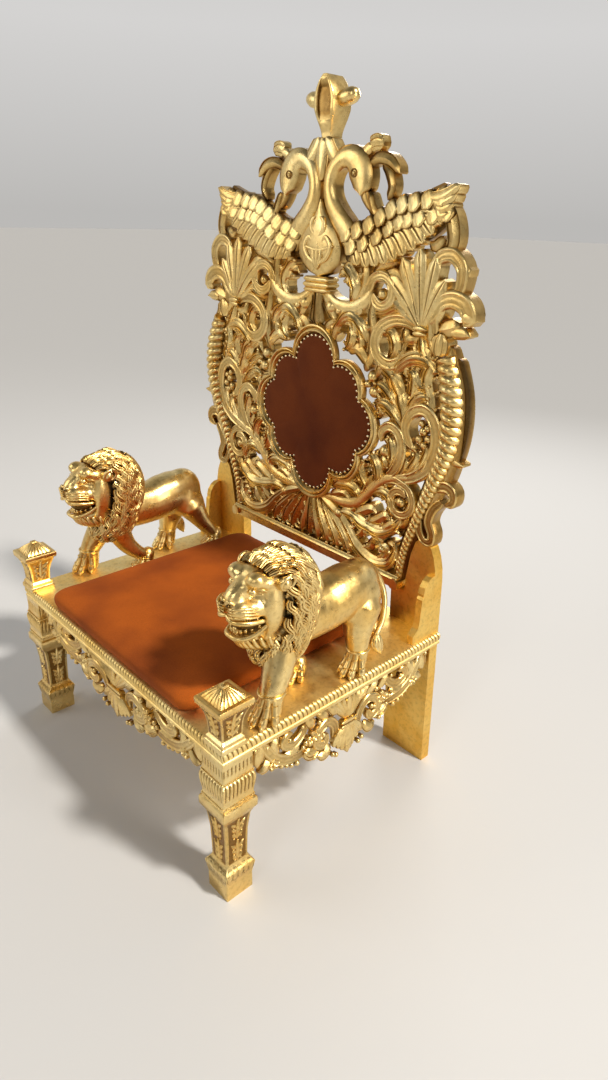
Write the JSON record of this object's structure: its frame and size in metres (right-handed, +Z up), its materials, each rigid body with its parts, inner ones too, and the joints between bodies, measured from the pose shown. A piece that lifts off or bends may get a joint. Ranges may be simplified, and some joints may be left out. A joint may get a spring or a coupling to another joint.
{
  "type": "throne",
  "caption": "Ceremonial throne with a broad box seat, a high pierced scrollwork back with peacocks and a lobed medallion, and walking lions as arms.",
  "frame": {"origin": "on the floor, under the middle of the throne's overall width and depth", "axes": "+Z up, +X to the throne's left-hand side seen from the front (the viewer's right), +Y from the seat's front edge towards the back"},
  "size_m": [1.113, 0.8108, 1.8453],
  "materials": {
    "carved_gilding": "bright metal leaf over carved wood, darker in the recesses",
    "plain_gilding": "smooth orange-gold leaf over flat boards",
    "rust_velvet": "short-pile rust-brown velvet"
  },
  "bodies": {
    "root": {"apron_front": "carved_gilding", "apron_left": "carved_gilding", "apron_right": "carved_gilding", "back_panel": "carved_gilding", "back_upright_left": "plain_gilding", "back_upright_right": "plain_gilding", "brace_left": "plain_gilding", "brace_right": "plain_gilding", "finial": "carved_gilding", "front_leg_left": "carved_gilding", "front_leg_right": "carved_gilding", "lion_left": "carved_gilding", "lion_right": "carved_gilding", "medallion_frame": "carved_gilding", "medallion_pad": "rust_velvet", "post_left": "carved_gilding", "post_right": "carved_gilding", "rail_back": "plain_gilding", "seat_deck": "plain_gilding", "seat_pad": "rust_velvet"}
  },
  "joints": []
}
